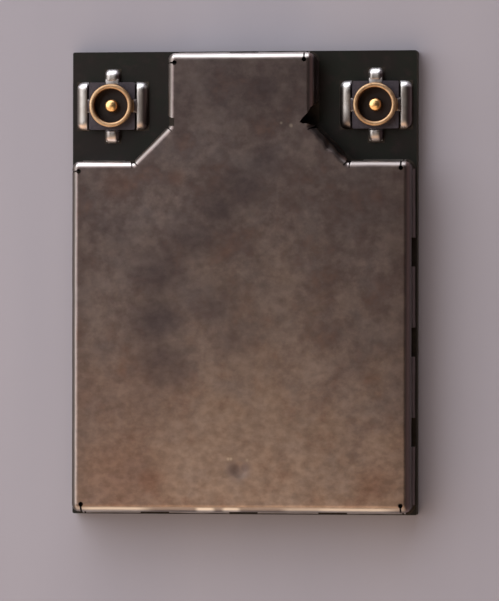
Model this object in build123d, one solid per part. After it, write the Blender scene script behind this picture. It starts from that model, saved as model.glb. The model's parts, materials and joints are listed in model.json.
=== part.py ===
from build123d import *
from math import sqrt
import os

# Solder-down laptop wireless network card, seen with its two aerial sockets at the back (+Y).
# Millimetres. X runs across the board, Y along it, Z up. The origin is below the middle of the
# board, at the level of the solder lands that it stands on.

# Circuit board
board_width = 12.0
board_length = 16.0
board_thickness = 0.58
board_corner_radius = 0.06
copper_thickness = 0.02             # every tinned copper land, above and below the board

# Small signal lands round the underside, and large ground lands inside them
signal_pitch = 0.50
signal_land_width = 0.30
signal_land_length = 0.70
signal_edge_gap = 0.10              # land to board edge
signal_corner_gap = 1.25            # middle of a row's last land to board corner, at least
ground_columns = 3
ground_rows = 4
ground_gap = 0.60                   # between ground lands
ground_margin = 0.50                # ground lands to signal lands
key_chamfer = 0.60                  # cut corner that shows the first land

# Shield can, folded from one sheet
sheet = 0.13
bend_radius = 0.25                  # outside of every bend
lid_headroom = 0.12                 # tallest component to lid
can_side_margin = 0.04              # track under the can to the board's long edges
can_end_margin = 0.02               # the same at the short edges
track_ledge = 0.08                  # track showing outside the walls
track_width = 0.42
solder_width = 0.07
solder_height = 0.13
socket_side_gap = 0.70              # socket lands to the track beside them, in X
socket_front_gap = 0.57             # the same in Y
diagonal_run = 1.21                 # diagonal walls between shoulders and tower, in X and in Y

# Openings and gaps between the can's flaps
window_length = 1.00
window_height = 0.65
window_pitch = 3.10
side_windows = 3
side_window_shift = -2.05           # middle window of each side wall, in Y
end_windows = 3
seam_width = 0.06
seam_offset = 0.34                  # corner to the seam beside it
relief_radius = 0.08                # small holes at the ends of the bend lines
flap_top_gap = 0.03                 # flap's end to an inward corner, at the lid
flap_foot_gap = 0.42                # the same at the board
tower_top_gap = 0.28                # the tower's side flaps are trimmed further
tower_foot_gap = 0.90
tear_depth = 0.52                   # tear in the lid at the tower's right-hand inward corner
tear_rise = 0.12                    # its tip above the corner
tear_mouth = 0.74
mark_radius = 0.30                  # small pressed mark in the lid
mark_floor = 0.14
mark_depth = 0.05
mark_from_front = 1.44

# Aerial sockets, a pair of push-on coaxial receptacles
socket_from_side = 1.41
socket_from_back = 1.88
ring_radius = 0.75
ring_wall = 0.15
ring_lip = 0.14                     # height of the lip that the plug clicks over
ring_groove = 0.05                  # how far the ring is drawn in below its lip
ring_flare = 0.02                   # and how far it widens again towards its foot
ring_height = 0.33                  # ring above its insulator
ring_edge = 0.03
insulator_width = 1.60
insulator_length = 1.64
insulator_height = 0.25
insulator_edge = 0.04
insulator_cup_depth = 0.10          # floor inside the ring, below the insulator's top
strip = 0.10                        # sheet of the shell's feet and the contact's tail
strip_gap = 0.05                    # insulation between tail and ring
foot_bend = 0.08                    # outer radius where a foot is bent down
foot_inner = 0.85                   # side feet, from the socket's middle
foot_reach = 1.21
foot_length = 1.58
tab_width = 0.46
tab_reach = 1.24
pin_radius = 0.22
pin_below_ring = 0.08
pin_edge = 0.08
socket_land_ledge = 0.06            # land showing round each foot
socket_solder = 0.05                # solder on that land
solder_cover = 0.03                 # solder on top of a foot's outer end

# Components under the can
joint_height = 0.05                 # land and solder below each component
chip_size = 5.20
chip_height = 0.70
contact_pitch = 0.40
contact_width = 0.20
contact_length = 0.35
contact_inset = 0.05
index_cut = 0.25                    # cut corner that shows a package's first contact
front_end_size = 1.60
front_end_height = 0.55
memory_size = 1.50
memory_height = 0.45
crystal_width = 1.60
crystal_length = 2.00
crystal_base_height = 0.26
crystal_lid_height = 0.20
crystal_lid_inset = 0.10
diplexer_size = (1.60, 0.80, 0.55)
terminal_thickness = 0.02           # tinned ends of the small components
inductor_size = (2.00, 1.25, 0.80)
inductor_end = 0.40
large_capacitor_size = (1.00, 0.50, 0.50)
large_capacitor_end = 0.25
small_part_size = (0.60, 0.30, 0.30)
small_part_end = 0.15
resistor_height = 0.23
large_part_pitch = 0.85
small_part_pitch = 0.55
part_gap = 0.30                     # between a component and its neighbour or the can's wall

# Levels
board_bottom = copper_thickness
board_top = board_bottom + board_thickness
land_top = board_top + copper_thickness
tallest_component = max(
    joint_height + chip_height,
    joint_height + front_end_height,
    joint_height + memory_height,
    joint_height + crystal_base_height + crystal_lid_height,
    joint_height + diplexer_size[2],
    inductor_size[2],
    large_capacitor_size[2],
)
lid_bottom = board_top + tallest_component + lid_headroom
lid_top = lid_bottom + sheet
wall_height = lid_top - land_top

# Outline of the can, inwards from the board's edges and clear of the sockets
socket_x = board_width / 2 - socket_from_side
socket_y = board_length / 2 - socket_from_back
can_side = board_width / 2 - can_side_margin - track_ledge
can_end = board_length / 2 - can_end_margin - track_ledge
tower_side = socket_x - foot_reach - socket_land_ledge - socket_side_gap - track_ledge
shoulder_y = socket_y - tab_reach - socket_land_ledge - socket_front_gap - track_ledge
diagonal_sum = tower_side + shoulder_y + diagonal_run   # x + y anywhere on the right diagonal wall
shoulder_corner = (diagonal_sum - shoulder_y, shoulder_y)
tower_corner = (tower_side, diagonal_sum - tower_side)

# Rows of components, from the can's front wall back to the chip and the small parts behind it
wall_front = sheet - can_end
power_y = wall_front + part_gap + inductor_size[0] / 2
chip_front = power_y + inductor_size[0] / 2 + part_gap
chip_y = chip_front + chip_size / 2
capacitor_y = chip_y + chip_size / 2 + part_gap + small_part_size[0] / 2
resistor_y = capacitor_y + small_part_size[0] + part_gap
crystal_y = wall_front + part_gap + crystal_length / 2

# Strips beside the chip, filled from the can's shoulders forwards
side_lane = (chip_size / 2 + can_side - sheet) / 2
front_end_y = shoulder_y - sheet - part_gap - front_end_size / 2
memory_y = front_end_y - front_end_size / 2 - part_gap - memory_size / 2
filter_capacitor_y = (memory_y - memory_size / 2 + power_y + inductor_size[0] / 2) / 2
supply_capacitor_y = (front_end_y - front_end_size / 2 + crystal_y + crystal_length / 2) / 2

# Parts in the tower, from its end forwards
diplexer_x = (tower_side - sheet) / 2
diplexer_y = can_end - sheet - part_gap - diplexer_size[0] / 2
matching_y = diplexer_y - diplexer_size[0] / 2 - part_gap - small_part_size[0] / 2

tiny = 0.001
past = 0.5                          # how far a cutter runs past the face that it opens
sides = {"left": -1, "right": 1}


def block(x_size, y_size, height, x=0, y=0, z=0):
    """Upright box, placed by the middle of its foot."""
    return Pos(x, y, z) * Box(x_size, y_size, height, align=(Align.CENTER, Align.CENTER, Align.MIN))


def disc(radius, height, x=0, y=0, z=0):
    """Upright cylinder, placed by the middle of its foot."""
    return Pos(x, y, z) * Cylinder(radius, height, align=(Align.CENTER, Align.CENTER, Align.MIN))


def row(count, pitch, middle=0.0):
    """Evenly spaced places about a middle."""
    return [middle + (i - (count - 1) / 2) * pitch for i in range(count)]


def filled_row(span, pitch):
    """As many evenly spaced places as fit in a span."""
    return row(int(span / pitch + tiny) + 1, pitch)


def group(solids):
    """Separate solids of one kind, kept together as one sub-part."""
    return Compound(children=[solid for item in solids for solid in item.solids()])


def mirrored(shape):
    """The shape and its mirror image on the other side of the board."""
    return [shape, mirror(shape, about=Plane.YZ)]


# Board and its lands


def circuit_board():
    board = block(board_width, board_length, board_thickness, z=board_bottom)
    return fillet(board.edges().filter_by(Axis.Z), board_corner_radius)


def signal_lands():
    """A row of small lands along each edge of the underside."""
    inset = signal_edge_gap + signal_land_length / 2
    side_x = board_width / 2 - inset
    end_y = board_length / 2 - inset
    side_rows = filled_row(board_length - 2 * signal_corner_gap, signal_pitch)
    end_rows = filled_row(board_width - 2 * signal_corner_gap, signal_pitch)
    side_land = block(signal_land_length, signal_land_width, copper_thickness)
    end_land = block(signal_land_width, signal_land_length, copper_thickness)
    lands = [Pos(x, y) * side_land for x in (-side_x, side_x) for y in side_rows]
    lands += [Pos(x, y) * end_land for y in (-end_y, end_y) for x in end_rows]
    return group(lands)


def ground_lands():
    """Grid of large lands in the middle of the underside; the first has one cut corner."""
    border = signal_edge_gap + signal_land_length + ground_margin
    width = (board_width - 2 * border - (ground_columns - 1) * ground_gap) / ground_columns
    length = (board_length - 2 * border - (ground_rows - 1) * ground_gap) / ground_rows
    columns = row(ground_columns, width + ground_gap)
    rows = row(ground_rows, length + ground_gap)
    lands = [block(width, length, copper_thickness, x, y) for x in columns for y in rows]
    first = lands[ground_rows - 1]
    key_edge = first.edges().filter_by(Axis.Z).group_by(Axis.X)[0].sort_by(Axis.Y)[-1]
    lands[ground_rows - 1] = chamfer(key_edge, key_chamfer)
    return group(lands)


# Shield can


def can_plan(grow):
    """Outline of the can, grown outwards with rounded corners or shrunk inwards with sharp ones."""
    side = can_side + grow
    end = can_end + grow
    shoulder = shoulder_y + grow
    tower = tower_side + grow
    diagonal = diagonal_sum + grow * sqrt(2)
    right = [
        (side, -end),
        (side, shoulder),
        (diagonal - shoulder, shoulder),
        (tower, diagonal - tower),
        (tower, end),
    ]
    left = [(-x, y) for x, y in reversed(right)]
    plan = make_face(Polyline(*right, *left, close=True))
    if grow < 0:
        return plan
    outward = plan.vertices().filter_by(lambda v: abs(v.X) > side - tiny or v.Y > end - tiny)
    return fillet(outward, bend_radius + grow)


def can_form(grow, height, radius):
    """Closed block of the can's outer or inner form, with its top edge bent over."""
    form = extrude(can_plan(grow), height)
    return fillet(form.faces().sort_by(Axis.Z)[-1].edges(), radius)


def inward_corners():
    """The right-hand inward corners, each with the two directions in which its flaps run off."""
    down_right = (sqrt(0.5), -sqrt(0.5))
    up_left = (-sqrt(0.5), sqrt(0.5))
    return [
        (shoulder_corner, (1, 0), flap_top_gap, flap_foot_gap),
        (shoulder_corner, up_left, flap_top_gap, flap_foot_gap),
        (tower_corner, down_right, flap_top_gap, flap_foot_gap),
        (tower_corner, (0, 1), tower_top_gap, tower_foot_gap),
    ]


def flap_gap(corner, heading, top_gap, foot_gap, reach=bend_radius):
    """Wedge that trims a flap back from an inward corner, wider at its foot."""
    across = (heading[1], -heading[0], 0)
    wall = Plane(origin=(*corner, land_top), x_dir=(*heading, 0), z_dir=across)
    corners = [(-tiny, 0), (foot_gap, 0), (top_gap, wall_height), (-tiny, wall_height)]
    return extrude(wall * make_face(Polyline(*corners, close=True)), reach, both=True)


def flap_gaps():
    """Cutters for all the gaps at the four inward corners."""
    cutters = [flap_gap(*corner) for corner in inward_corners()]
    for x, y in (shoulder_corner, (tower_side, tower_corner[1] + relief_radius)):
        cutters.append(disc(relief_radius, wall_height, x, y, land_top))
    return [cutter for shape in cutters for cutter in mirrored(shape)]


def windows():
    """Cutters for the openings along the foot of the walls."""
    cutters = []
    for y in row(side_windows, window_pitch, side_window_shift):
        for sign in (-1, 1):
            cutters.append(block(past, window_length, window_height, sign * can_side, y, land_top))
    for x in row(end_windows, window_pitch):
        cutters.append(block(window_length, past, window_height, x, -can_end, land_top))
    cutters.append(block(window_length, past, window_height, 0, can_end, land_top))
    return cutters


def seam(x, y, x_open, y_open):
    """Slot through a flap beside an outward corner, ending in a relief hole in the lid."""
    slot_x = past if x_open else seam_width
    slot_y = past if y_open else seam_width
    slot = block(slot_x, slot_y, wall_height, x + x_open * past / 2, y + y_open * past / 2, land_top)
    return slot + disc(relief_radius, wall_height, x, y, land_top + wall_height / 2)


def seams():
    """One seam beside each outward corner."""
    side_line = can_side - bend_radius
    end_line = can_end - bend_radius
    shoulder_line = shoulder_y - bend_radius
    return [
        seam(can_side - seam_offset, -end_line, 0, -1),
        seam(seam_offset - can_side, -end_line, 0, -1),
        seam(can_side - seam_offset, shoulder_line, 0, 1),
        seam(-side_line, shoulder_y - seam_offset, -1, 0),
        seam(tower_side - seam_offset, end_line, 0, 1),
        seam(bend_radius - tower_side, can_end - seam_offset, -1, 0),
    ]


def tear():
    """Pointed tear at the tower's right-hand inward corner, through the lid and the flap below it."""
    x, y = tower_corner
    mouth_x = x + tiny
    points = [
        (x - tear_depth, y + tear_rise),
        (x - tear_depth + tear_rise, y),
        (mouth_x, y),
        (mouth_x, y + tear_mouth),
    ]
    lid_tear = extrude(Pos(0, 0, lid_bottom - bend_radius) * make_face(Polyline(*points, close=True)), past)
    return lid_tear + flap_gap(tower_corner, (0, 1), tear_mouth - sheet, tower_foot_gap, sheet)


def pressed_mark():
    """Cutter for a shallow round pit with sloping sides."""
    sides_run = mark_radius + past * (mark_radius - mark_floor) / mark_depth
    cone = Cone(mark_floor, sides_run, mark_depth + past, align=(Align.CENTER, Align.CENTER, Align.MIN))
    return Pos(0, mark_from_front - can_end, lid_top - mark_depth) * cone


def shield_can():
    outside = can_form(0, wall_height, bend_radius)
    inside = can_form(-sheet, wall_height - sheet, bend_radius - sheet)
    can = Pos(0, 0, land_top) * (outside - inside)
    return can - flap_gaps() - windows() - seams() - tear() - pressed_mark()


def shield_track():
    """Tinned track on the board, under the whole foot of the can."""
    band = can_plan(track_ledge) - can_plan(track_ledge - track_width)
    return Pos(0, 0, board_top) * extrude(band, copper_thickness)


def rounded_corners():
    """Cutters for the six rounded outward corners, where the solder stops."""
    cutter = block(2 * bend_radius, 2 * bend_radius, solder_height, z=land_top)
    corners = [(can_side, -can_end), (can_side, shoulder_y), (tower_side, can_end)]
    return [copy for x, y in corners for copy in mirrored(Pos(x, y) * cutter)]


def shield_solder():
    """Solder fillets along the outside of the flaps, left out at windows, seams and gaps."""
    flare = loft([can_plan(solder_width), Pos(0, 0, solder_height) * can_plan(tiny)], ruled=True)
    skirt = Pos(0, 0, land_top) * (flare - extrude(can_plan(0), solder_height))
    return group([skirt - rounded_corners() - windows() - flap_gaps() - seams()])


# Aerial sockets, each built at the origin on the level of its lands


ring_foot = strip + strip_gap
ring_top = insulator_height + ring_height
strap_top = ring_foot + strip


def shell_foot(reach, length):
    """Strap from the ring's foot, bent down to a foot that lies on its land."""
    start = ring_radius - ring_wall / 2
    end = foot_inner + strip
    strap = block(end - start, tab_width, strip, (start + end) / 2, 0, ring_foot)
    riser = block(strip, length, strap_top, foot_inner + strip / 2)
    bend = riser.edges().filter_by(Axis.Y).group_by(Axis.Z)[-1].sort_by(Axis.X)[-1]
    foot = block(reach - foot_inner, length, strip, (reach + foot_inner) / 2)
    return strap + fillet(bend, foot_bend) + foot


def socket_shell():
    """Ring with a lip round its top, and the side feet and rear tab bent down from its foot."""
    inner = ring_radius - ring_wall
    groove_radius = ring_radius - ring_groove
    groove_top = ring_top - ring_lip
    profile = make_face(Polyline(
        (inner, ring_foot),
        (groove_radius + ring_flare, ring_foot),
        (groove_radius, groove_top - ring_groove),
        (ring_radius, groove_top),
        (ring_radius, ring_top - ring_edge),
        (ring_radius - ring_edge, ring_top),
        (inner, ring_top),
        close=True,
    ))
    ring = revolve(Plane.XZ * profile, Axis.Z)
    side_foot = shell_foot(foot_reach, foot_length)
    rear_tab = Rot(0, 0, 90) * shell_foot(tab_reach, tab_width)
    return ring + side_foot + Rot(0, 0, 180) * side_foot + rear_tab


def socket_contact():
    """Centre pin with a tapered tip, and the tail that runs out under the ring to the front."""
    pin = disc(pin_radius, ring_top - pin_below_ring)
    pin = chamfer(pin.edges().sort_by(Axis.Z)[-1], pin_edge)
    return pin + block(tab_width, tab_reach, strip, 0, -tab_reach / 2)


def socket_insulator(shell, contact):
    """Moulded base round the foot of the ring, with a lower floor inside the ring."""
    body = block(insulator_width, insulator_length, insulator_height)
    body = chamfer(body.edges().filter_by(Axis.Z), insulator_edge)
    cup = disc(ring_radius - ring_wall / 2, past, z=insulator_height - insulator_cup_depth)
    return body - cup - shell - contact


def socket_land(start, reach, length):
    """A land that shows all round the foot or tab on it, and its twin across the socket."""
    depth = reach - start + 2 * socket_land_ledge
    middle = (start + reach) / 2
    land = block(depth, length + 2 * socket_land_ledge, copper_thickness, middle, 0, -copper_thickness)
    return [land, Rot(0, 0, 180) * land]


def socket_lands():
    """Tinned lands under the two side feet, and under the rear tab and the contact's tail."""
    lands = socket_land(foot_inner, foot_reach, foot_length)
    tabs = socket_land(insulator_length / 2, tab_reach, tab_width)
    return group(lands + [Rot(0, 0, 90) * tab for tab in tabs])


def solder_joint(reach, length):
    """Solder sloping from a foot's riser over the foot to its land, and its twin across the socket."""
    riser = foot_inner + strip
    section = make_face(Polyline(
        (riser, strip),
        (riser, strap_top - foot_bend),
        (reach, strip + solder_cover),
        (reach + socket_solder, 0),
        (reach, 0),
        (reach, strip),
        close=True,
    ))
    joint = extrude(Plane.XZ * section, length / 2, both=True)
    return [joint, Rot(0, 0, 180) * joint]


def socket_solder_joints():
    joints = solder_joint(foot_reach, foot_length)
    tab_joints = solder_joint(tab_reach, tab_width)
    return group(joints + [Rot(0, 0, 90) * joint for joint in tab_joints])


def sockets():
    """Both sockets, as named pieces in place."""
    shell = socket_shell()
    contact = socket_contact()
    pieces = {
        "shell": shell,
        "insulator": socket_insulator(shell, contact),
        "contact": contact,
        "solder": socket_solder_joints(),
    }
    spots = {side: Pos(sign * socket_x, socket_y, land_top) for side, sign in sides.items()}
    placed = {"socket_lands": group([spot * socket_lands() for spot in spots.values()])}
    for side, spot in spots.items():
        for name, piece in pieces.items():
            placed[f"{side}_socket_{name}"] = spot * piece
    return placed


# Components under the can


def contact_ring(size):
    """Contacts along the four edges of a square package, with a ground pad in its middle."""
    edge = size / 2 - contact_inset - contact_length / 2
    contact = block(contact_length, contact_width, joint_height, edge)
    places = filled_row(size - 4 * contact_length, contact_pitch)
    side_row = [Pos(0, place) * contact for place in places]
    contacts = [Rot(0, 0, turn) * item for turn in (0, 90, 180, 270) for item in side_row]
    pad = size - 2 * (contact_inset + contact_length + contact_width)
    return contacts + [block(pad, pad, joint_height)]


def square_package(size, height):
    """Moulded package with one cut corner beside its first contact."""
    package = block(size, size, height, z=joint_height)
    first_corner = package.edges().filter_by(Axis.Z).group_by(Axis.X)[0].sort_by(Axis.Y)[-1]
    return chamfer(first_corner, index_cut)


def crystal():
    """Ceramic base, metal lid and four corner contacts of the clock crystal."""
    base = block(crystal_width, crystal_length, crystal_base_height, z=joint_height)
    lid = block(
        crystal_width - 2 * crystal_lid_inset,
        crystal_length - 2 * crystal_lid_inset,
        crystal_lid_height,
        z=joint_height + crystal_base_height,
    )
    lid = chamfer(lid.edges().filter_by(Axis.Z), crystal_lid_inset)
    corner_x = crystal_width / 2 - contact_length
    corner_y = crystal_length / 2 - contact_length
    contacts = [
        block(contact_length, contact_length, joint_height, sx * corner_x, sy * corner_y)
        for sx in (-1, 1)
        for sy in (-1, 1)
    ]
    return base, lid, contacts


def chip_part(size, end):
    """Body and two five-sided end caps of a small two-ended component."""
    length, width, height = size
    core = block(
        length - 2 * terminal_thickness,
        width - 2 * terminal_thickness,
        height - 2 * terminal_thickness,
        z=terminal_thickness,
    )
    caps = [block(end, width, height, sign * (length - end) / 2) - core for sign in (-1, 1)]
    return core, caps


def laid_out(part, places):
    """Bodies and ends of one kind of component, at (x, y, turn) places on the board."""
    body, ends = part
    bodies = [Pos(x, y, board_top) * Rot(0, 0, turn) * body for x, y, turn in places]
    all_ends = [Pos(x, y, board_top) * Rot(0, 0, turn) * end for x, y, turn in places for end in ends]
    return group(bodies), group(all_ends)


def seated(name, body, contacts, spots):
    """A package at each of its spots on the board, and all its contacts as one group."""
    placed = {prefix + name: Pos(*spot, board_top) * body for prefix, spot in spots.items()}
    joints = [Pos(*spot, board_top) * contact for spot in spots.values() for contact in contacts]
    placed[name + "_contacts"] = group(joints)
    return placed


def square_chip(name, size, height, spots):
    """A square moulded chip at each of its spots, with its contacts."""
    return seated(name, square_package(size, height), contact_ring(size), spots)


def packages():
    """The chips, the crystal and the diplexer filters, with their contacts."""
    crystal_spot = (side_lane, crystal_y)
    crystal_base, crystal_lid, crystal_contacts = crystal()
    length, width, height = diplexer_size
    diplexer_contact = block(width, contact_width, joint_height)
    diplexer_contacts = [Pos(0, y) * diplexer_contact for y in row(3, (length - contact_width) / 2)]
    diplexer = block(width, length, height, z=joint_height)
    front_end_spots = {f"{side}_": (sign * side_lane, front_end_y) for side, sign in sides.items()}
    diplexer_spots = {f"{side}_": (sign * diplexer_x, diplexer_y) for side, sign in sides.items()}
    placed = square_chip("radio_chip", chip_size, chip_height, {"": (0, chip_y)})
    placed |= square_chip("memory_chip", memory_size, memory_height, {"": (-side_lane, memory_y)})
    placed |= square_chip("front_end_chip", front_end_size, front_end_height, front_end_spots)
    placed |= seated("crystal_base", crystal_base, crystal_contacts, {"": crystal_spot})
    placed["crystal_lid"] = Pos(*crystal_spot, board_top) * crystal_lid
    placed |= seated("diplexer", diplexer, diplexer_contacts, diplexer_spots)
    return placed


def across(places, y):
    """Components that stand lengthwise in Y, at each place along X."""
    return [(x, y, 90) for x in places]


def stacked(x, places):
    """Components that lie lengthwise in X, at each place along Y."""
    return [(x, y, 0) for y in places]


def small_components():
    """Power inductors, capacitors, resistors and matching inductors in rows round the chips."""
    front_middle = (side_lane - side_lane / 2) / 2
    chip_row = row(7, small_part_pitch)
    matching_row = row(2, small_part_pitch, diplexer_x) + row(2, small_part_pitch, -diplexer_x)
    power_places = across((-side_lane, -side_lane / 2), power_y)
    large_places = across(row(4, large_part_pitch, front_middle), power_y)
    large_places += stacked(side_lane, row(4, large_part_pitch, supply_capacitor_y))
    small_places = across(chip_row, capacitor_y)
    small_places += stacked(-side_lane, row(3, small_part_pitch, filter_capacitor_y))

    small_part = chip_part(small_part_size, small_part_end)
    resistor = chip_part((*small_part_size[:2], resistor_height), small_part_end)
    kinds = {
        "power_inductor": (chip_part(inductor_size, inductor_end), power_places),
        "large_capacitor": (chip_part(large_capacitor_size, large_capacitor_end), large_places),
        "small_capacitor": (small_part, small_places),
        "resistor": (resistor, across(chip_row, resistor_y)),
        "matching_inductor": (small_part, across(matching_row, matching_y)),
    }
    placed = {}
    for name, (part, places) in kinds.items():
        placed[name + "_bodies"], placed[name + "_ends"] = laid_out(part, places)
    return placed


def main():
    pieces = {
        "circuit_board": circuit_board(),
        "signal_lands": signal_lands(),
        "ground_lands": ground_lands(),
        "shield_track": shield_track(),
        "shield_can": shield_can(),
        "shield_solder": shield_solder(),
    }
    pieces.update(sockets())
    pieces.update(packages())
    pieces.update(small_components())
    os.makedirs("parts", exist_ok=True)
    for name, piece in pieces.items():
        export_step(piece, f"parts/{name}.step")
        print(name, len(piece.solids()), "solids", round(piece.volume, 4), "mm3")


main()
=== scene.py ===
"""Looks of a solder-down laptop wireless card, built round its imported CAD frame.

Pieces are modelled in millimetres and scaled to metres when they are added.
X runs across the card, Y along it towards the aerial sockets, Z up.
"""

import json
import math

import bmesh
import bpy
from mathutils import Matrix, Vector, noise

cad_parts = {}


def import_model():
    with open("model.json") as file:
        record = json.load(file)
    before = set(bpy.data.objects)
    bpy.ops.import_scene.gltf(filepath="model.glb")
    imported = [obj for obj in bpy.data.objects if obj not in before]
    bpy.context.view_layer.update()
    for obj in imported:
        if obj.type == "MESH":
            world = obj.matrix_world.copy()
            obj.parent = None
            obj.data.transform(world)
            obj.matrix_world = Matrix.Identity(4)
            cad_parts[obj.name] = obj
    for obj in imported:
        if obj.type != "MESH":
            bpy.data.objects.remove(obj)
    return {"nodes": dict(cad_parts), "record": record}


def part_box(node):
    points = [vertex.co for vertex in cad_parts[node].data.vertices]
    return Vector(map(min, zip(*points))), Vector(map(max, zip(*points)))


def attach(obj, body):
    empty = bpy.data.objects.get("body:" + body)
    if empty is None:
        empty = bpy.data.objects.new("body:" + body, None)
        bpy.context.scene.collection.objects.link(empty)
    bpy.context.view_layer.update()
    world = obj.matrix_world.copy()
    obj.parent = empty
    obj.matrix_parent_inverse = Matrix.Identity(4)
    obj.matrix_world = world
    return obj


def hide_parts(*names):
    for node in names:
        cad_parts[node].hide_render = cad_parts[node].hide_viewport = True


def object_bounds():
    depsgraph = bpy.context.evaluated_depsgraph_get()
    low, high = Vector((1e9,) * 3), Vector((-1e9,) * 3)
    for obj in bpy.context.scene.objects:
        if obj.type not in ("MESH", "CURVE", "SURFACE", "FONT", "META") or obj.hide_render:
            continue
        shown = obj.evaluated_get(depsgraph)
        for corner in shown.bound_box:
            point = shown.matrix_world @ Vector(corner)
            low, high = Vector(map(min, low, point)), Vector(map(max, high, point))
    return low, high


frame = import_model()
cad_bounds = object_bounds()
scene = bpy.context.scene
nodes = frame["nodes"]

MM = 0.001
SMOOTH_ANGLE = math.radians(32)
WELD = 0.0005                           # vertices of a CAD mesh nearer than this are joined
CUT_SNAP = 0.0001
ROUND_STEPS = 3                         # faces across a rounded edge

# Camera, fitted to the photograph
CAMERA_DISTANCE = 166.4
LEAN_RIGHT = math.radians(7.693)
LEAN_BACK = math.radians(-0.778)
ROLL = math.radians(0.07)
LENS = 289.1
SENSOR = 36.0
CLIP_START, CLIP_END = 0.01, 10.0       # metres
VIEW_TARGET = Vector((0, 0, 1.0))       # distance and lean are measured from here
AIM = Vector((0.246, -0.62, 1.0))       # what lies in the middle of the picture

# Aerial sockets, measured from their own middle and the level of their lands
SOCKET_X, SOCKET_Y = 4.59, 6.12         # middle of each socket on the card
RING_OUTER = 0.75
RING_INNER = 0.585
RING_GROOVE = 0.05
RING_LIP = 0.14
RING_ROUND = 0.065
RING_TOP = 0.58
RING_FOOT = 0.15
RING_SEGMENTS = 96
LIP_STEPS = 6
STRIP = 0.10                            # thickness of the sheet metal
EDGE_ROUND = 0.02                       # rounding of its edges
STRAP_TOP = 0.25                        # top of the solder over a strap's riser
STRAP_OVERLAP = 0.09                    # how far a strap runs into the ring
RISER_ROUND = 0.035
TAB_WIDTH = 0.46
TAB_REACH = 1.24
FOOT_INNER = 0.85
FOOT_REACH = 1.21
FOOT_LENGTH = 1.58
FOOT_INSET = 0.09                       # how far the metal stays back under its solder
PIN_RADIUS = 0.22
PIN_TOP = 0.50
PIN_DOME = 0.11
PIN_SEGMENTS = 48
DOME_STEPS = 12
TAIL_START = 0.40                       # where the pin's tail begins

# Pillows of solder on the sockets' feet and tails
SOLDER_LEDGE = 0.05                     # how far it reaches past the metal of a foot
SOLDER_FILM = 0.01
SOLDER_EDGE = 0.002                     # least thickness
PILLOW_PEAK = 0.15                      # share of the solder's width where it is highest
PILLOW_DIP = 0.3                        # share of the height that it loses on the inner side
PILLOW_END = 0.40                       # length of its rounded ends
PILLOW_END_SHARE = 0.45                 # most of the whole length that one end may take
PILLOW_FALL = 0.6                       # 0.5 for steep edges, more for softer ones
PILLOW_POWER = 3.2                      # 2 for round corners, more for square ones
PILLOW_WAVE = 0.05                      # share by which its height wanders
PILLOW_STEPS = (16, 40)                 # faces across it and along it

# Shield can
GRID = 0.30                             # spacing of the cuts that let the sheet bend a little
LID_SAG = 0.02
LID_SWAY = 0.012
LID_SWAY_SCALE = 0.35                   # noise cells per millimetre, as for the other scales
BEND_WAVE = 0.010
BEND_WAVE_SCALE = 0.9
MARK_X, MARK_Y, MARK_REACH = 0.0, -6.46, 0.32
MARK_DEPTH = 0.09                       # how far below the lid the mark's vertices may lie
MARK_FILL = 0.65                        # how much of the pressed mark's depth is filled in
TEAR = Vector((2.75, 5.0, 0.0))         # middle of the torn and crumpled corner, on the plan
TEAR_REACH = 1.3
TEAR_CUTS = 0.1
TEAR_CRUMPLE = 0.15
TEAR_CRUMPLE_SCALE = 2.3

# Solder along the can's foot
FILLET_GRID = 0.12
FILLET_WAVE = 0.012
FILLET_RISE = 0.02
FILLET_WAVE_SCALE = 1.8
FILLET_FREE = 0.64                      # above this height it may also rise and fall

# Patches on the lid, the bends and the solder: x, y, radius, strength
STAINS = [
    (0.9, 4.2, 1.1, 0.6),
    (0.1, 3.3, 1.2, 0.8),
    (-0.7, 2.5, 1.2, 0.8),
    (-1.6, 1.5, 1.3, 0.7),
    (-2.8, 0.2, 1.7, 0.7),
    (-1.0, -0.7, 1.6, 0.5),
    (-2.8, -1.3, 1.5, 0.9),
    (-2.6, -2.8, 1.6, 0.8),
    (4.6, 2.8, 2.2, 0.25),
    (-3.0, -4.0, 1.5, 0.25),
    (0.8, 6.7, 0.7, 0.7),
    (-0.3, -2.0, 1.4, 0.35),
    (-4.3, 1.9, 1.2, 0.3),
]
BROWNED = [
    (-3.2, -6.8, 0.9, 0.7),
    (-5.4, -4.0, 0.7, 0.4),
    (4.6, -6.9, 1.0, 0.45),
    (-4.2, -4.6, 3.4, 0.25),
    (-4.2, -6.6, 2.6, 0.5),
    (-2.2, 3.6, 0.45, 0.4),
    (-4.3, 3.4, 0.8, 0.3),
]
# Dirt with painted shade in the pressed mark on the lid
MARK_GRIME_AND_SHADE = [
    (-0.20, -6.42, 0.42, 0.9),
    (0.17, -6.37, 0.32, 0.8),
    (0.00, -6.48, 0.58, 0.6),
]
# Worn bare spots with painted glints: at the top of the pressed mark and near the notch
SCUFFS_AND_GLINTS = [
    (-0.40, -6.07, 0.08, 0.5),
    (-0.31, -6.07, 0.08, 0.5),
    (0.25, -6.11, 0.08, 0.3),
    (1.76, 5.38, 0.10, 0.4),
    (1.42, 5.47, 0.07, 0.3),
]
# Painted highlights on the front bend
PAINTED_HIGHLIGHT_BENDS = [
    (-1.21, -7.85, 0.40, 1.0),
    (-0.31, -7.85, 0.38, 0.9),
    (2.2, -7.85, 0.9, 0.4),
    (3.9, -7.85, 1.7, 0.7),
    (-4.4, -7.85, 1.5, 0.7),
]
# Painted shade on parts of the bends: right shoulder, left diagonal and back-left corner
PAINTED_SHADE_BENDS = [
    (4.7, 4.06, 1.5, 1.0),
    (-3.2, 4.9, 1.15, 0.85),
    (-2.45, 6.8, 1.2, 0.55),
]
# Painted shade on the bends round the torn corner
DARK_BENDS = [
    (2.9, 4.9, 1.25, 1.0),
]
# Painted shade on the solder round the torn corner
PAINTED_SHADE_SOLDER = [
    (2.9, 5.2, 1.1, 0.9),
]
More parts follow.
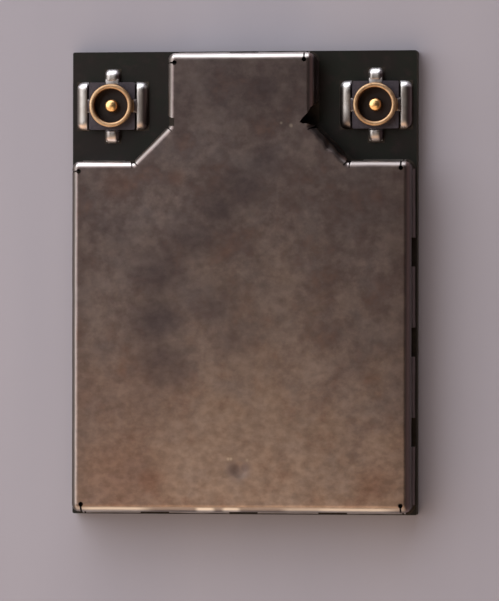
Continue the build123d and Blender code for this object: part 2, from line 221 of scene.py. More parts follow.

# Colours of the tinned sheet, on its lid and on its bends and walls, several of them painted light and
# shade
LID = {
    # front and back: tarnish, with painted light towards the front and painted shade towards the back
    "front": (0.395, 0.298, 0.24),
    "back": (0.178, 0.137, 0.130),
    "pale_blotch": (0.50, 0.41, 0.36),
    "brown_blotch": (0.27, 0.17, 0.135),
    "grey_film": (0.25, 0.225, 0.225),
    "stain": (0.13, 0.105, 0.108),
    "browned": (0.24, 0.135, 0.10),
    # painted shade along the left and right edges of the lid
    "sides": (0.12, 0.08, 0.07),
    # painted shade on the lid near its back end
    "tower": (0.11, 0.085, 0.085),
    # dirt with painted shade in the pressed mark
    "grime_and_shade": (0.15, 0.11, 0.10),
    # worn bare metal with painted glints
    "scuff_and_glint": (0.80, 0.70, 0.55),
}
BEND = {
    "clean": (0.96, 0.94, 0.94),
    "clouded": (0.86, 0.81, 0.78),
    # painted shade on some of the bends
    "painted_shade": (0.38, 0.35, 0.335),
    # painted shade on bends facing the front
    "front": (0.28, 0.245, 0.23),
    # painted highlights on the front bend
    "painted_highlight": (0.78, 0.74, 0.68),
    # painted shade on bends and walls facing the left and the right, deepest on the right walls
    "left": (0.155, 0.135, 0.122),
    "right": (0.28, 0.205, 0.187),
    "right_wall_painted_shade": (0.12, 0.09, 0.085),
    # painted shade on the bends round the torn corner
    "torn": (0.055, 0.045, 0.042),
}

# Surroundings: bearing from +X towards +Y, inner and outer half width in degrees, and colour
PANELS = [
    (95, 10, 34, (2.15, 2.12, 2.23)),
    (195, 15, 70, (0.26, 0.23, 0.22)),
    (245, 25, 62, (1.32, 0.99, 0.74)),
    (0, 15, 60, (0.10, 0.075, 0.08)),
]
AMBIENT = (0.027, 0.020, 0.023)
WALL_TOP = (0.60, 0.76)                 # height on the unit sphere where the walls end
CEILING = (0.02, 0.017, 0.017)

# Lights: name, place, what it points at, width and length, watts, colour
LIGHTS = [
    ("key_light", (-94, 58, 84), (0, 0, 0), (170, 170), 0.187, (1.0, 0.985, 1.0)),
    ("front_light", (-4, -32, 72), (0, -8, 1), (56, 40), 0.0085, (1.0, 0.73, 0.54)),
]

# Floor
FLOOR_REACH = 1.5                       # metres
FLOOR_OPENING = 0.09                    # how far the opening stays inside the card's outline
FLOOR_COLOURS = (0.40, 0.385, 0.44), (0.44, 0.42, 0.47)


# Building pieces


def box_mm(node):
    """Lowest and highest corner of a CAD node, in millimetres."""
    low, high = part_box(node)
    return low / MM, high / MM


def mark_sharp_edges(bm):
    """Smooth shading everywhere but across edges that turn more than the smooth angle."""
    for face in bm.faces:
        face.smooth = True
    for edge in bm.edges:
        edge.smooth = edge.calc_face_angle(0.0) < SMOOTH_ANGLE


def add_piece(name, bm, slot, *replaced):
    """Turns a mesh built in millimetres into a named piece of the card."""
    bmesh.ops.recalc_face_normals(bm, faces=bm.faces)
    mark_sharp_edges(bm)
    bmesh.ops.scale(bm, vec=(MM, MM, MM), verts=bm.verts)
    mesh = bpy.data.meshes.new(name)
    bm.to_mesh(mesh)
    bm.free()
    mesh.materials.append(MATERIALS[slot])
    piece = bpy.data.objects.new(name, mesh)
    scene.collection.objects.link(piece)
    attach(piece, "root")
    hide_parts(*replaced)


def from_node(node):
    """Welded copy of a CAD node's mesh, in millimetres."""
    bm = bmesh.new()
    bm.from_mesh(nodes[node].data)
    bmesh.ops.scale(bm, vec=(1 / MM, 1 / MM, 1 / MM), verts=bm.verts)
    bmesh.ops.remove_doubles(bm, verts=bm.verts, dist=WELD)
    return bm


def cut_grid(bm, spacing, span=None):
    """Cuts a mesh by evenly spaced upright planes, so that it can bend smoothly.

    span gives the lowest and highest corner of the part to cut; without it, all is cut.
    """
    for axis in (0, 1):
        values = [corner[axis] for corner in span or [vertex.co for vertex in bm.verts]]
        low, high = min(values), max(values)
        normal = Vector((axis == 0, axis == 1, 0))
        for i in range(1, int((high - low) / spacing) + 1):
            geometry = bm.verts[:] + bm.edges[:] + bm.faces[:]
            place = normal * (low + i * spacing)
            bmesh.ops.bisect_plane(bm, geom=geometry, dist=CUT_SNAP, plane_co=place, plane_no=normal)


def ripple(place, scale):
    """Smooth offset that wanders with the place, the same in every run."""
    return Vector([noise.noise(place * scale + Vector((0, 0, 17.0 * i))) for i in range(3)])


def lathe(bm, profile, centre, segments):
    """Profile of (radius, height) points, turned about an upright axis; radius 0 closes it."""
    rings = []
    for radius, height in profile:
        if radius == 0:
            rings.append([bm.verts.new(centre + Vector((0, 0, height)))] * segments)
            continue
        turns = [2 * math.pi * i / segments for i in range(segments)]
        places = [centre + Vector((radius * math.cos(t), radius * math.sin(t), height)) for t in turns]
        rings.append([bm.verts.new(place) for place in places])
    pairs = list(zip(rings, rings[1:]))
    if profile[0][0] and profile[-1][0]:
        pairs.append((rings[-1], rings[0]))
    for ring, after in pairs:
        for i in range(segments):
            j = (i + 1) % segments
            corners = [ring[i], ring[j], after[j], after[i]]
            bm.faces.new(list(dict.fromkeys(corners)))


def arc(centre, radius, start, end, steps):
    """Points of an arc in the profile plane, with angles in degrees."""
    turns = [math.radians(start + (end - start) * i / steps) for i in range(steps + 1)]
    return [(centre[0] + radius * math.cos(t), centre[1] + radius * math.sin(t)) for t in turns]


def rounded_block(bm, low, high, rounding):
    """Box between two corners, with every edge rounded."""
    made = bmesh.ops.create_cube(bm, size=1)["verts"]
    for vertex in made:
        vertex.co = Vector([(low[i] + high[i]) / 2 + vertex.co[i] * (high[i] - low[i]) for i in range(3)])
    edges = list({linked for vertex in made for linked in vertex.link_edges})
    bmesh.ops.bevel(bm, geom=edges, offset=rounding, segments=ROUND_STEPS, profile=0.5, affect="EDGES")


def heap(bm, length, base, reach, height):
    """Solder heaped along a straight land: length in Y, outwards from base in X, on its plane.

    reach(along) gives where it ends, with along from -1 to 1, and height(x, along) gives its top.
    """
    columns, rows = PILLOW_STEPS
    top, foot = [], []
    for j in range(rows + 1):
        along = -math.cos(math.pi * j / rows)
        run = reach(along) - base
        line = [base + run * math.sin(math.pi / 2 * i / columns) for i in range(columns + 1)]
        top.append([bm.verts.new((x, length / 2 * along, height(x, along))) for x in line])
        foot.append([bm.verts.new((x, length / 2 * along, 0)) for x in line])
    for j in range(rows):
        for i in range(columns):
            bm.faces.new((top[j][i], top[j][i + 1], top[j + 1][i + 1], top[j + 1][i]))
            bm.faces.new((foot[j][i], foot[j + 1][i], foot[j + 1][i + 1], foot[j][i + 1]))
    for edge_top, edge_foot in (
        (top[0], foot[0]),
        (top[-1][::-1], foot[-1][::-1]),
        ([line[0] for line in top][::-1], [line[0] for line in foot][::-1]),
        ([line[-1] for line in top], [line[-1] for line in foot]),
    ):
        for k in range(len(edge_top) - 1):
            bm.faces.new((edge_foot[k], edge_foot[k + 1], edge_top[k + 1], edge_top[k]))


# Materials


class NodeSteps:
    """Steps that surfaces and the surroundings are built from, in one node tree."""

    def __init__(self, tree):
        self.tree = tree

    def node(self, kind, **settings):
        made = self.tree.nodes.new(kind)
        for name, value in settings.items():
            setattr(made, name, value)
        return made

    def join(self, source, target):
        if isinstance(source, bpy.types.NodeSocket):
            self.tree.links.new(source, target)
        else:
            target.default_value = source

    def math(self, operation, first, second=0.0):
        made = self.node("ShaderNodeMath", operation=operation)
        self.join(first, made.inputs[0])
        self.join(second, made.inputs[1])
        return made.outputs[0]

    def vector(self, operation, first, second=(0.0, 0.0, 0.0), result="Vector"):
        made = self.node("ShaderNodeVectorMath", operation=operation)
        self.join(first, made.inputs[0])
        self.join(second, made.inputs[1])
        return made.outputs[result]

    def scaled(self, colour, amount):
        made = self.node("ShaderNodeVectorMath", operation="SCALE")
        self.join(colour, made.inputs[0])
        self.join(amount, made.inputs["Scale"])
        return made.outputs[0]

    def fit(self, value, low, high, to_low=0.0, to_high=1.0):
        """Carries low to to_low and high to to_high, smoothly, and stops at both."""
        made = self.node("ShaderNodeMapRange", interpolation_type="SMOOTHSTEP")
        ends = {"Value": value, "From Min": low, "From Max": high, "To Min": to_low, "To Max": to_high}
        for name, entry in ends.items():
            self.join(entry, made.inputs[name])
        return made.outputs["Result"]

    def axis(self, source, name):
        made = self.node("ShaderNodeSeparateXYZ")
        self.join(source, made.inputs[0])
        return made.outputs[name]


class Surface(NodeSteps):
    """A Principled material, with the steps that the recipes below share."""

    def __init__(self, name, **sockets):
        self.material = bpy.data.materials.new(name)
        self.material.use_nodes = True
        super().__init__(self.material.node_tree)
        self.shader = self.tree.nodes["Principled BSDF"]
        for socket, value in sockets.items():
            self.shader.inputs[socket].default_value = value
        coordinates = self.node("ShaderNodeTexCoord")
        self.place = self.scaled(coordinates.outputs["Object"], 1 / MM)

    def noise(self, scale, detail=3.0, roughness=0.5, distortion=0.0, stretch=None, seed=0.0):
        made = self.node("ShaderNodeTexNoise", noise_dimensions="4D")
        place = self.vector("MULTIPLY", self.place, stretch) if stretch else self.place
        self.join(place, made.inputs["Vector"])
        made.inputs["W"].default_value = seed
        made.inputs["Scale"].default_value = scale
        made.inputs["Detail"].default_value = detail
        made.inputs["Roughness"].default_value = roughness
        made.inputs["Distortion"].default_value = distortion
        return made.outputs["Fac"]

    def blend(self, share, first, second):
        """The first colour where share is 0, the second where it is 1."""
        made = self.node("ShaderNodeMix", data_type="RGBA")
        self.join(share, made.inputs[0])
        for entry, target in ((first, made.inputs[6]), (second, made.inputs[7])):
            self.join((*entry, 1.0) if isinstance(entry, tuple) else entry, target)
        return made.outputs[2]

    def normal(self, name):
        """How far the surface faces along an axis, from -1 to 1."""
        return self.axis(self.node("ShaderNodeNewGeometry").outputs["Normal"], name)

    def facing(self, name, low, high):
        """How far the surface faces along an axis, from 0 at low to 1 at high."""
        return self.fit(self.normal(name), low, high)

    def spot(self, x, y, radius, softness):
        """Soft round patch on the plan, 1 in its middle."""
        flat = self.vector("MULTIPLY", self.place, (1.0, 1.0, 0.0))
        away = self.vector("DISTANCE", flat, (x, y, 0.0), "Value")
        return self.fit(away, radius, radius * (1 - softness))

    def patches(self, spots, softness):
        """Several soft patches, each given as x, y, radius and strength."""
        total = 0.0
        for x, y, radius, strength in spots:
            share = self.math("MULTIPLY", self.spot(x, y, radius, softness), strength)
            total = self.math("MAXIMUM", total, share)
        return total

    def sockets(self, radius, softness):
        """Round area in the middle of each aerial socket."""
        return self.patches([(x, SOCKET_Y, radius, 1.0) for x in (-SOCKET_X, SOCKET_X)], softness)

    def bump(self, height, distance, strength):
        made = self.node("ShaderNodeBump")
        made.inputs["Strength"].default_value = strength
        made.inputs["Distance"].default_value = distance * MM
        self.join(height, made.inputs["Height"])
        self.join(made.outputs["Normal"], self.shader.inputs["Normal"])

    def set(self, socket, value):
        self.join(value, self.shader.inputs[socket])


def lid_colour(surface, cloud, grain, grime_and_shade):
    """Tarnish with painted light and shade, lighter to the front and darker to the back and both edges;
    blotches, stains, dirt and painted shade in the pressed mark, worn spots with painted glints.
    """
    across = surface.axis(surface.place, "X")
    along = surface.axis(surface.place, "Y")
    # Tarnish and painted shade: darker towards the back, at random, and towards the right and left edges
    tarnish_and_shade_drift = surface.math("ADD", along, surface.fit(cloud, 0.3, 0.7, -2.4, 2.4))
    tarnish_and_shade_drift = surface.math("ADD", tarnish_and_shade_drift, surface.fit(across, 1.6, 4.4, 0.0, 3.2))
    tarnish_and_shade_drift = surface.math("ADD", tarnish_and_shade_drift, surface.fit(across, -1.0, -4.0, 0.0, 2.2))
    colour = surface.blend(surface.fit(tarnish_and_shade_drift, -7.0, 3.5), LID["front"], LID["back"])
    blotch = surface.noise(1.3, detail=6.0, roughness=0.65, seed=15.0)
    colour = surface.blend(surface.fit(blotch, 0.35, 0.60, 0.30, 0.0), colour, LID["pale_blotch"])
    colour = surface.blend(surface.fit(blotch, 0.52, 0.72, 0.0, 0.55), colour, LID["brown_blotch"])
    film = surface.noise(0.8, detail=6.0, roughness=0.65, seed=25.0)
    colour = surface.blend(surface.fit(film, 0.45, 0.7, 0.0, 0.35), colour, LID["grey_film"])
    smear = surface.fit(surface.noise(0.9, detail=5.0, roughness=0.6, seed=9.0), 0.15, 0.5, 0.25, 1.0)
    stained = surface.math("MULTIPLY", surface.patches(STAINS, 0.95), smear)
    colour = surface.blend(stained, colour, LID["stain"])
    colour = surface.blend(surface.patches(BROWNED, 0.9), colour, LID["browned"])
    # painted shade darkens the lid along its left and right edges
    sides = surface.fit(surface.math("ABSOLUTE", across), 4.7, 6.2, 0.0, 0.4)
    colour = surface.blend(sides, colour, LID["sides"])
    # painted shade on the lid near its back end
    colour = surface.blend(surface.fit(along, 4.5, 6.5, 0.0, 0.4), colour, LID["tower"])
    strength = surface.fit(along, -7, -1, 0.36, 0.24)
    mottle = surface.math("MULTIPLY", surface.fit(grain, 0.3, 0.7, -0.5, 0.5), strength)
    colour = surface.scaled(colour, surface.math("ADD", mottle, 1.0))
    # dirt and painted shade darken the pressed mark
    colour = surface.blend(grime_and_shade, colour, LID["grime_and_shade"])
    # worn spots with painted glints on the lid
    return surface.blend(surface.patches(SCUFFS_AND_GLINTS, 0.9), colour, LID["scuff_and_glint"])


def bend_colour(surface, cloud):
    """Tin on the bends and walls, paler than the lid, with painted shade by the way they face and in
    patches, and painted highlights on the front bend.
    """
    colour = surface.blend(surface.fit(cloud, 0.35, 0.6), BEND["clean"], BEND["clouded"])
    # painted shade on parts of the bends
    colour = surface.blend(surface.patches(PAINTED_SHADE_BENDS, 0.5), colour, BEND["painted_shade"])
    # painted shade on bends facing the front
    colour = surface.blend(surface.facing("Y", -0.15, -0.50), colour, BEND["front"])
    # painted highlights on the upper part of the front bend
    painted_highlight = surface.math("MULTIPLY", surface.patches(PAINTED_HIGHLIGHT_BENDS, 0.5), surface.facing("Z", 0.15, 0.40))
    colour = surface.blend(painted_highlight, colour, BEND["painted_highlight"])
    # painted shade on bends facing the left, then the right, deepest on the right walls
    colour = surface.blend(surface.facing("X", -0.15, -0.50), colour, BEND["left"])
    colour = surface.blend(surface.facing("X", 0.12, 0.45), colour, BEND["right"])
    colour = surface.blend(surface.facing("X", 0.60, 0.90), colour, BEND["right_wall_painted_shade"])
    # painted shade on the bends round the torn corner
    return surface.blend(surface.patches(DARK_BENDS, 0.5), colour, BEND["torn"])


def shield_metal():
    """Tinned sheet, satin, with tarnish, scuffs and finger stains, and cleaner bends."""
    surface = Surface("stained_tinned_sheet", Metallic=1.0)
    cloud = surface.noise(0.55, detail=6.0, roughness=0.65, distortion=0.4, seed=2.0)
    grain = surface.noise(3.6, detail=4.0, roughness=0.6, stretch=(0.75, 1.0, 1.0), seed=5.0)
    caked = surface.fit(grain, 0.3, 0.6, 0.75, 1.0)
    # dirt with painted shade in the pressed mark, broken up by the grain
    grime_and_shade = surface.math("MULTIPLY", surface.patches(MARK_GRIME_AND_SHADE, 0.8), caked)
    lid = surface.facing("Z", 0.86, 0.99)
    colour = surface.blend(lid, bend_colour(surface, cloud), lid_colour(surface, cloud, grain, grime_and_shade))
    surface.set("Base Color", colour)
    rough = surface.fit(cloud, 0.3, 0.7, 0.32, 0.345)
    rough = surface.math("ADD", rough, surface.math("MULTIPLY", grime_and_shade, 0.2))
    surface.set("Roughness", surface.math("ADD", rough, surface.fit(lid, 1.0, 0.0, 0.0, 0.05)))
    surface.bump(grain, 0.0012, 0.3)
    return surface.material


def gold_and_solder():
    """Worn gold on rings and pins, brown patina and painted shade inside the rings, painted shade on the
    straps and low on the rings, grey on feet and tails.
    """
    surface = Surface("worn_gold_plating", Metallic=1.0)
    cloud = surface.fit(surface.noise(3.0, detail=5.0, roughness=0.6, seed=41.0), 0.35, 0.7)
    gold = surface.blend(cloud, (0.50, 0.31, 0.17), (0.68, 0.47, 0.28))
    tin = surface.blend(cloud, (0.40, 0.37, 0.36), (0.55, 0.52, 0.50))
    raised = surface.fit(surface.axis(surface.place, "Z"), 0.80, 0.86)
    # painted shade low on the rings and straps
    gold = surface.blend(raised, (0.06, 0.045, 0.045), gold)
    straps = [(x + out, SOCKET_Y, 0.27, 1.0) for x in (-SOCKET_X, SOCKET_X) for out in (-0.92, 0.92)]
    # painted shade on the straps
    colour = surface.blend(surface.patches(straps, 0.3), tin, (0.10, 0.08, 0.085))
    colour = surface.blend(surface.sockets(0.79, 0.04), colour, gold)
    # brown patina with painted shade inside the rings
    colour = surface.blend(surface.sockets(0.62, 0.06), colour, (0.26, 0.12, 0.06))
    pin = surface.sockets(0.35, 0.2)
    colour = surface.blend(pin, colour, (1.0, 0.64, 0.28))
    surface.set("Base Color", colour)
    wear = surface.fit(surface.noise(8.0, seed=42.0), 0.3, 0.7, 0.36, 0.46)
    surface.set("Roughness", surface.math("SUBTRACT", wear, surface.math("MULTIPLY", pin, 0.1)))
    surface.bump(surface.noise(14.0, detail=4.0, seed=43.0), 0.003, 0.3)
    return surface.material


def socket_resin():
    """Dark moulded resin, with painted shade in dark brown inside the rings."""
    surface = Surface("dark_insulator")
    grain = surface.fit(surface.noise(12.0, detail=5.0, roughness=0.7, seed=51.0), 0.3, 0.75)
    outside = surface.blend(grain, (0.040, 0.034, 0.045), (0.070, 0.058, 0.072))
    # painted shade, dark brown, inside the rings
    surface.set("Base Color", surface.blend(surface.sockets(0.66, 0.1), outside, (0.016, 0.007, 0.004)))
    surface.set("Roughness", surface.fit(grain, 0.0, 1.0, 0.42, 0.55))
    surface.set("Specular IOR Level", 0.36)
    surface.bump(grain, 0.004, 0.6)
    return surface.material


def solder_metal():
    """Solder, with painted highlights on the front and back of the sockets and painted shade where it
    faces left or right.
    """
    surface = Surface("solder", Metallic=1.0)
    cloud = surface.fit(surface.noise(2.2, detail=4.0, roughness=0.6, seed=31.0), 0.35, 0.7)
    colour = surface.blend(cloud, (0.44, 0.41, 0.385), (0.54, 0.51, 0.48))
    # painted shade where the solder faces left
    colour = surface.blend(surface.facing("X", -0.1, -0.6), colour, (0.23, 0.21, 0.19))
    near = surface.sockets(1.8, 0.1)
    # painted highlight where it faces the front, near the sockets
    front = surface.math("MULTIPLY", surface.facing("Y", -0.1, -0.4), near)
    colour = surface.blend(front, colour, (0.70, 0.58, 0.50))
    # painted shade where it faces right
    colour = surface.blend(surface.facing("X", 0.05, 0.5), colour, (0.17, 0.13, 0.125))
    # painted highlight where it faces the back, near the sockets
    back = surface.math("MULTIPLY", surface.facing("Y", 0.1, 0.4), near)
    colour = surface.blend(back, colour, (0.95, 0.94, 0.95))
    # painted shade on the solder round the torn corner
    colour = surface.blend(surface.patches(PAINTED_SHADE_SOLDER, 0.4), colour, (0.11, 0.09, 0.085))
    surface.set("Base Color", colour)
    surface.set("Roughness", surface.fit(surface.noise(5.0, seed=32.0), 0.3, 0.7, 0.34, 0.43))
    surface.bump(surface.noise(9.0, detail=3.0, seed=33.0), 0.002, 0.3)
    return surface.material


def plated(name, colour, dark, roughness, seed):
    """Plated or tinned metal with faint clouds and fine wear."""
    surface = Surface(name, Metallic=1.0)
    cloud = surface.fit(surface.noise(3.0, detail=5.0, roughness=0.6, seed=seed), 0.35, 0.7)
    surface.set("Base Color", surface.blend(cloud, dark, colour))
    wear = surface.noise(8.0, seed=seed + 1)
    surface.set("Roughness", surface.fit(wear, 0.3, 0.7, roughness, roughness + 0.14))
    surface.bump(surface.noise(14.0, detail=4.0, seed=seed + 2), 0.003, 0.5)
    return surface.material


def moulded(name, colour, pale, roughness, seed):
    """Moulded resin or fired ceramic with a fine grain."""
    surface = Surface(name)
    grain = surface.fit(surface.noise(12.0, detail=5.0, roughness=0.7, seed=seed), 0.3, 0.75)
    surface.set("Base Color", surface.blend(grain, colour, pale))
    surface.set("Roughness", surface.fit(grain, 0.0, 1.0, roughness, roughness + 0.12))
    surface.bump(grain, 0.004, 0.6)
    return surface.material


def board_mask():
    """Dark solder mask above and below, and bare glass laminate round the edge."""
    surface = Surface("solder_mask_on_laminate")
    face = surface.fit(surface.math("ABSOLUTE", surface.normal("Z")), 0.6, 0.8)
    cloud = surface.fit(surface.noise(0.9, detail=5.0, roughness=0.6, seed=3.0), 0.35, 0.65)
    mask = surface.blend(cloud, (0.0095, 0.0066, 0.0056), (0.0066, 0.0086, 0.0052))
    fleck = surface.fit(surface.noise(2.6, detail=4.0, roughness=0.6, seed=8.0), 0.5, 0.8)
    mask = surface.blend(fleck, mask, (0.022, 0.013, 0.012))
    fibres = surface.noise(1.0, detail=6.0, roughness=0.7, stretch=(3.0, 3.0, 30.0), seed=4.0)
    laminate = surface.blend(surface.fit(fibres, 0.3, 0.7), (0.030, 0.026, 0.018), (0.085, 0.072, 0.045))
    surface.set("Base Color", surface.blend(face, laminate, mask))
    surface.set("Roughness", surface.fit(face, 0.0, 1.0, 0.75, 0.42))
    surface.set("Specular IOR Level", 0.28)
    surface.bump(surface.noise(5.0, detail=4.0, seed=6.0), 0.006, 0.4)
    return surface.material


MATERIALS = {
    "board_mask": board_mask(),
    "tinned_copper": plated("tinned_copper", (0.66, 0.62, 0.56), (0.50, 0.46, 0.41), 0.34, 11.0),
    "gold_lands": plated("gold_lands", (0.83, 0.65, 0.30), (0.70, 0.52, 0.24), 0.30, 21.0),
    "shield_metal": shield_metal(),
    "solder": solder_metal(),
    "gold_plating": gold_and_solder(),
    "insulator": socket_resin(),
    "chip_package": moulded("moulding_compound", (0.022, 0.022, 0.026), (0.045, 0.045, 0.050), 0.55, 61.0),
    "ceramic_body": moulded("fired_ceramic", (0.50, 0.37, 0.26), (0.60, 0.46, 0.33), 0.5, 71.0),
    "ferrite": moulded("dark_ferrite", (0.09, 0.09, 0.10), (0.15, 0.15, 0.16), 0.5, 81.0),
}


# Shield can and its solder


def shield_can():
    """The folded can: a slightly sagging lid, uneven bends and a crumpled tear."""
    bm = from_node("shield_can")
    low, high = box_mm("shield_can")
    cut_grid(bm, GRID)
    around = Vector((TEAR_REACH, TEAR_REACH, 0))
    cut_grid(bm, TEAR_CUTS, (TEAR - around, TEAR + around))
    for vertex in bm.verts:
        x, y, z = vertex.co
        upper = min(max((z - low.z) / (high.z - low.z), 0.0), 1.0) ** 2
        sway = noise.noise(Vector((x * LID_SWAY_SCALE, y * LID_SWAY_SCALE, 3.0)))
        dip = LID_SAG * (1 - (x / high.x) ** 2) * (1 - (y / high.y) ** 2) + LID_SWAY * (1 + sway)
        wave = ripple(Vector((x, y, 8.0)), BEND_WAVE_SCALE)
        near = max(1 - (Vector((x, y, 0)) - TEAR).length / TEAR_REACH, 0)
        crumple = ripple(vertex.co, TEAR_CRUMPLE_SCALE) * min(2 * near, 1)
        vertex.co.x += upper * (BEND_WAVE * wave.x + TEAR_CRUMPLE * crumple.x)
        vertex.co.y += upper * (BEND_WAVE * wave.y + TEAR_CRUMPLE * crumple.y)
        marked = (x - MARK_X) ** 2 + (y - MARK_Y) ** 2 < MARK_REACH ** 2
        if marked and high.z - MARK_DEPTH < z < high.z:
            vertex.co.z += (high.z - z) * MARK_FILL
        vertex.co.z -= dip * upper
    add_piece("folded_shield_can", bm, "shield_metal", "shield_can")


def shield_solder():
    """The solder along the can's foot, with a wavy edge."""
    bm = from_node("shield_solder")
    cut_grid(bm, FILLET_GRID)
    for vertex in bm.verts:
        wave = ripple(vertex.co, FILLET_WAVE_SCALE)
        rise = FILLET_RISE * wave.z * (vertex.co.z > FILLET_FREE)
        vertex.co += Vector((FILLET_WAVE * wave.x, FILLET_WAVE * wave.y, rise))
    add_piece("wavy_shield_solder", bm, "solder", "shield_solder")


# Aerial sockets


def ring_profile():
    """Section of the ring: rounded lip on top, groove below it."""
    groove = RING_OUTER - RING_GROOVE
    lip_foot = RING_TOP - RING_LIP
    outer = (RING_OUTER - RING_ROUND, RING_TOP - RING_ROUND)
    inner = (RING_INNER + RING_ROUND, RING_TOP - RING_ROUND)
    return [
        (RING_INNER, RING_FOOT),
        (groove, RING_FOOT),
        (groove, lip_foot - RING_GROOVE),
        (RING_OUTER, lip_foot),
        *arc(outer, RING_ROUND, 0, 90, LIP_STEPS),
        *arc(inner, RING_ROUND, 90, 180, LIP_STEPS),
    ]


def pin_profile():
    """Half section of the centre pin, with its domed top."""
    quarter = arc((0, 0), PIN_RADIUS, 0, 90, DOME_STEPS)[:-1]
    shoulder = PIN_TOP - PIN_DOME
    dome = [(x, shoulder + y * PIN_DOME / PIN_RADIUS) for x, y in quarter]
    return [(0, 0), (PIN_RADIUS, 0), *dome, (0, PIN_TOP)]


def turned(bm, build, centre, turn):
    """Runs a build step at the origin, then turns and moves what it made."""
    before = set(bm.verts)
    build(bm)
    added = [vertex for vertex in bm.verts if vertex not in before]
    matrix = Matrix.Translation(centre) @ Matrix.Rotation(math.radians(turn), 4, "Z")
    bmesh.ops.transform(bm, matrix=matrix, verts=added)


def foot(reach, length):
    """Build step for a strap from the ring, bent down to a flat foot."""
    def build(bm):
        half = length / 2 - FOOT_INSET
        tab = TAB_WIDTH / 2
        riser = FOOT_INNER + STRIP
        under = STRAP_TOP - 3 * SOLDER_FILM
        strap = (RING_OUTER - STRAP_OVERLAP, -tab, RING_FOOT), (riser - EDGE_ROUND, tab, under)
        rounded_block(bm, *strap, EDGE_ROUND)
        rounded_block(bm, (FOOT_INNER, -half, 0), (riser, half, under), RISER_ROUND)
        rounded_block(bm, (FOOT_INNER, -half, 0), (reach - FOOT_INSET, half, STRIP), EDGE_ROUND)
    return build


def foot_solder(reach, length, seed):
    """Build step for the solder that wets a foot: a smooth pillow, highest over the foot's riser."""
    full = length + 2 * SOLDER_LEDGE
    end_run = min(PILLOW_END, PILLOW_END_SHARE * full)
    base = FOOT_INNER - SOLDER_FILM
    width = reach + SOLDER_LEDGE - base
    peak = PILLOW_PEAK * width

    def end_share(along):
        return max(1 - (1 - abs(along)) * full / 2 / end_run, 0) ** PILLOW_POWER

    def outline(along):
        return base + peak + (width - peak) * (1 - end_share(along)) ** (1 / PILLOW_POWER)

    def height(x, along):
        outer = (max(x - base - peak, 0) / (width - peak)) ** PILLOW_POWER
        inner = 1 - PILLOW_DIP * max(1 - (x - base) / peak, 0) ** 2
        wave = 1 + PILLOW_WAVE * noise.noise(Vector((x, along * 2, seed)))
        fall = max(1 - outer - end_share(along), 0) ** PILLOW_FALL
        return max(STRAP_TOP * inner * fall * wave, SOLDER_EDGE)

    def build(bm):
        heap(bm, full, base, outline, height)
    return build


def aerial_socket(side):
    """Ring with feet, centre pin and solder of a push-on coaxial socket; its insulator is the CAD's."""
    low, high = box_mm(f"{side}_socket_insulator")
    centre = Vector(((low.x + high.x) / 2, (low.y + high.y) / 2, low.z))
    feet = [(0, FOOT_REACH, FOOT_LENGTH), (180, FOOT_REACH, FOOT_LENGTH), (90, TAB_REACH, TAB_WIDTH)]

    ring = bmesh.new()
    lathe(ring, ring_profile(), centre, RING_SEGMENTS)
    for turn, reach, length in feet:
        turned(ring, foot(reach, length), centre, turn)
    add_piece(f"{side}_ring_and_feet", ring, "gold_plating", f"{side}_socket_shell")

    pin = bmesh.new()
    lathe(pin, pin_profile(), centre, PIN_SEGMENTS)
    half = TAB_WIDTH / 2
    tail_low = (centre.x - half, centre.y - TAB_REACH, centre.z)
    tail_high = (centre.x + half, centre.y - TAIL_START, centre.z + STRIP)
    rounded_block(pin, tail_low, tail_high, EDGE_ROUND)
    add_piece(f"{side}_centre_pin", pin, "gold_plating", f"{side}_socket_contact")

    solder = bmesh.new()
    for turn, reach, length in feet + [(270, TAB_REACH, TAB_WIDTH)]:
        turned(solder, foot_solder(reach, length, turn + centre.x), centre, turn)
    add_piece(f"{side}_socket_solder_heaps", solder, "solder", f"{side}_socket_solder")


# Studio


def world():
    """Soft surroundings: a few broad panels round the walls, under a dark ceiling."""
    made = bpy.data.worlds.new("studio")
    scene.world = made
    made.use_nodes = True
    steps = NodeSteps(made.node_tree)
    looking = steps.node("ShaderNodeTexCoord").outputs["Generated"]
    level = steps.vector("NORMALIZE", steps.vector("MULTIPLY", looking, (1.0, 1.0, 0.0)))
    total = AMBIENT
    for bearing, inner, outer, colour in PANELS:
        bearing = math.radians(bearing)
        along = steps.vector("DOT_PRODUCT", level, (math.cos(bearing), math.sin(bearing), 0.0), "Value")
        share = steps.fit(along, math.cos(math.radians(outer)), math.cos(math.radians(inner)))
        total = steps.vector("ADD", total, steps.scaled(colour, share))
    wall = steps.fit(steps.axis(looking, "Z"), WALL_TOP[1], WALL_TOP[0])
    total = steps.vector("ADD", steps.scaled(total, wall), CEILING)
    steps.join(total, made.node_tree.nodes["Background"].inputs["Color"])


def soft_light(name, place, target, size, power, colour):
    """Soft rectangular light, aimed at a point; places and sizes in millimetres."""
    data = bpy.data.lights.new(name, "AREA")
    data.shape = "RECTANGLE"
    data.size, data.size_y = size[0] * MM, size[1] * MM
    data.energy = power
    data.color = colour
    light = bpy.data.objects.new(name, data)
    place = Vector(place)
    light.location = place * MM
    light.rotation_euler = (Vector(target) - place).to_track_quat("-Z", "Y").to_euler()
    light.visible_camera = False
    scene.collection.objects.link(light)


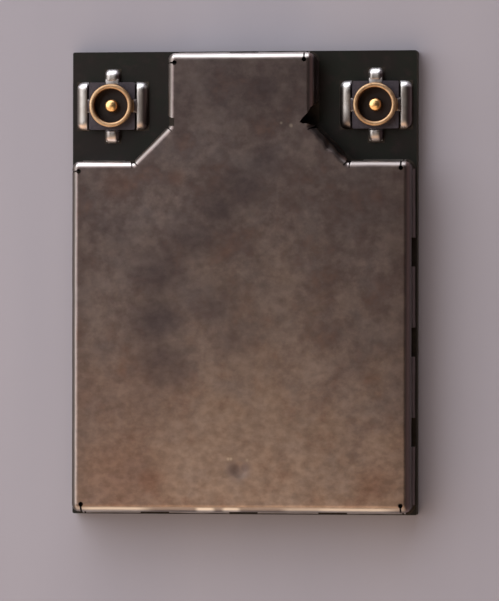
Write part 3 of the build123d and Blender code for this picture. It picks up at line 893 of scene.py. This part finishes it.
def floor():
    """Plain pale floor, open below the card so that its underside can be looked at."""
    surface = Surface("pale_floor", Roughness=0.6)
    streaks = surface.noise(0.06, detail=3.0, stretch=(3.0, 0.4, 1.0), seed=7.0)
    surface.set("Base Color", surface.blend(surface.fit(streaks, 0.3, 0.7), *FLOOR_COLOURS))
    low, high = cad_bounds
    inset = FLOOR_OPENING * MM
    bm = bmesh.new()
    loops = []
    for left, front, right, back in (
        (-FLOOR_REACH, -FLOOR_REACH, FLOOR_REACH, FLOOR_REACH),
        (low.x + inset, low.y + inset, high.x - inset, high.y - inset),
    ):
        corners = ((left, front), (right, front), (right, back), (left, back))
        loops.append([bm.verts.new((x, y, 0)) for x, y in corners])
    outer, inner = loops
    for i in range(4):
        j = (i + 1) % 4
        bm.faces.new((outer[i], outer[j], inner[j], inner[i]))
    mesh = bpy.data.meshes.new("floor")
    bm.to_mesh(mesh)
    bm.free()
    mesh.materials.append(surface.material)
    made = bpy.data.objects.new("floor", mesh)
    scene.collection.objects.link(made)


def camera():
    """Camera at the photograph's viewing angle."""
    data = bpy.data.cameras.new("camera")
    data.lens = LENS
    data.sensor_width = SENSOR
    data.clip_start = CLIP_START
    data.clip_end = CLIP_END
    made = bpy.data.objects.new("camera", data)
    lean = Vector((
        math.sin(LEAN_RIGHT) * math.cos(LEAN_BACK),
        math.sin(LEAN_BACK),
        math.cos(LEAN_RIGHT) * math.cos(LEAN_BACK),
    ))
    eye = VIEW_TARGET + CAMERA_DISTANCE * lean
    forward = (AIM - eye).normalized()
    right = forward.cross(Vector((0, 1, 0))).normalized()
    up = right.cross(forward)
    basis = Matrix((right, up, -forward)).transposed() @ Matrix.Rotation(ROLL, 3, "Z")
    made.matrix_world = Matrix.Translation(eye * MM) @ basis.to_4x4()
    scene.collection.objects.link(made)
    scene.camera = made


for entry in frame["record"]["subparts"]:
    node = nodes[entry["node"]]
    node.data.materials.clear()
    node.data.materials.append(MATERIALS[entry["material_slot"]])
# painted shade: the shield's track and the sockets' lands made near black
lands_painted_shade = plated("lands_in_painted_shade", (0.07, 0.058, 0.048), (0.045, 0.038, 0.033), 0.5, 91.0)
for name in ("shield_track", "socket_lands"):
    nodes[name].data.materials[0] = lands_painted_shade

shield_can()
shield_solder()
aerial_socket("left")
aerial_socket("right")
world()
floor()
camera()
for light in LIGHTS:
    soft_light(*light)
scene.view_settings.view_transform = "Standard"
